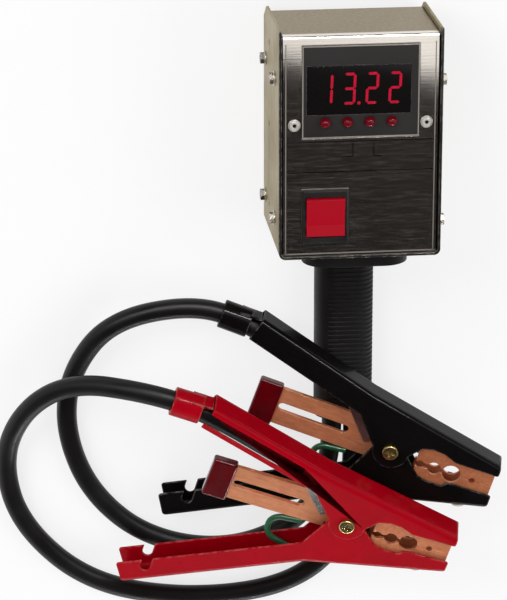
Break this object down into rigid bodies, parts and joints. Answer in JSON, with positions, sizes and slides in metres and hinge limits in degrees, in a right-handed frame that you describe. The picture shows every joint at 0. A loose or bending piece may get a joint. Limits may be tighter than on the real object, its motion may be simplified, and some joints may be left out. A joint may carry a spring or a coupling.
{
  "type": "battery load tester",
  "caption": "Hand-held battery load tester: sheet-metal meter box with a digital display and rocker switch on a ribbed handle, with two heavy leads ending in spring clamps.",
  "frame": {"origin": "middle of the tester's footprint, on the plane of the case's back", "axes": "+Z out of the front panel, +Y from the handle towards the top of the case, +X to the right seen from the front"},
  "size_m": [0.3244, 0.4069, 0.0856],
  "materials": {
    "case_paint": "speckled grey-beige enamel, satin",
    "brushed_panel": "brushed along the width",
    "zinc_plate": "bright zinc plating",
    "charcoal_plate": "satin charcoal",
    "smoked_lens": "smoked, polished",
    "moulded_black": "moulded, fine texture",
    "indicator_red": "clear red dome",
    "board_green": "solder mask",
    "rivet_metal": "drawn, lightly worn",
    "switch_black": "moulded, satin",
    "rocker_red": "translucent red, polished",
    "terminal_brass": "bright",
    "ribbon_steel": "heat-tinted",
    "insulator_white": "glazed ceramic",
    "copper": "copper plate, rubbed",
    "lead_rubber": "smooth, slightly dusty",
    "grip_rubber": "moulded, matt",
    "red_enamel": "thick gloss dip",
    "black_enamel": "thick gloss dip",
    "yellow_zinc": "yellow zinc plating",
    "spring_steel": "oiled",
    "dipped_sleeve": "dark red dip",
    "green_insulation": "smooth insulation",
    "tinned_crimp": "tinned"
  },
  "bodies": {
    "tester": {"black_clamp_cable_crimp": "tinned_crimp", "black_clamp_cable_tail": "lead_rubber", "black_clamp_jumper_wire": "green_insulation", "black_clamp_pivot_nut": "yellow_zinc", "black_clamp_pivot_screw": "yellow_zinc", "black_clamp_shunt_strap": "copper", "black_clamp_spring": "spring_steel", "black_clamp_strap_sleeve": "dipped_sleeve", "black_clamp_upper_jaw": "copper", "black_clamp_upper_lever": "black_enamel", "black_inner_lead": "lead_rubber", "black_lead": "lead_rubber", "board_standoffs": "rivet_metal", "cable_plug": "grip_rubber", "case_screws": "zinc_plate", "case_wrap": "case_paint", "circuit_board": "board_green", "display_lens": "smoked_lens", "display_module": "moulded_black", "display_plate": "charcoal_plate", "face_shell": "brushed_panel", "flange_screws": "zinc_plate", "handle_core": "moulded_black", "handle_flange": "moulded_black", "handle_grip": "grip_rubber", "indicator_leds": "indicator_red", "lead_lugs": "copper", "load_element": "ribbon_steel", "load_insulators": "insulator_white", "load_relay": "moulded_black", "panel_rivets": "rivet_metal", "red_clamp_cable_crimp": "tinned_crimp", "red_clamp_cable_tail": "lead_rubber", "red_clamp_jumper_wire": "green_insulation", "red_clamp_pivot_nut": "yellow_zinc", "red_clamp_pivot_screw": "yellow_zinc", "red_clamp_shunt_strap": "copper", "red_clamp_spring": "spring_steel", "red_clamp_strap_sleeve": "dipped_sleeve", "red_clamp_upper_jaw": "copper", "red_clamp_upper_lever": "red_enamel", "red_inner_lead": "lead_rubber", "red_lead": "lead_rubber", "switch_housing": "switch_black", "switch_terminals": "terminal_brass"},
    "rocker": {"load_rocker": "rocker_red"},
    "red_lower_lever": {"red_clamp_lower_lever": "red_enamel", "red_clamp_lower_jaw": "copper", "red_clamp_jaw_rivet": "rivet_metal"},
    "black_lower_lever": {"black_clamp_lower_lever": "black_enamel", "black_clamp_lower_jaw": "copper", "black_clamp_jaw_rivet": "rivet_metal"}
  },
  "joints": [
    {"name": "rocker_press", "type": "hinge", "parent": "tester", "child": "rocker", "pos_m": [-0.0213, 0.02, 0.081], "axis": [-1, 0, 0], "range_deg": [0, 10], "stiffness_Nm_per_rad": 0.05, "springref_deg": -5.73},
    {"name": "red_clamp_squeeze", "type": "hinge", "parent": "tester", "child": "red_lower_lever", "pos_m": [-0.003, -0.1875, 0.062], "axis": [0.1834, 0.2756, -0.9436], "range_deg": [0, 20], "stiffness_Nm_per_rad": 3, "springref_deg": -34.38, "deforming": ["red_clamp_spring", "red_clamp_jumper_wire"]},
    {"name": "black_clamp_squeeze", "type": "hinge", "parent": "tester", "child": "black_lower_lever", "pos_m": [0.0274, -0.147, 0.0444], "axis": [0.2071, 0.0872, -0.9744], "range_deg": [0, 20], "stiffness_Nm_per_rad": 3, "springref_deg": -34.38, "deforming": ["black_clamp_spring", "black_clamp_jumper_wire"]}
  ]
}
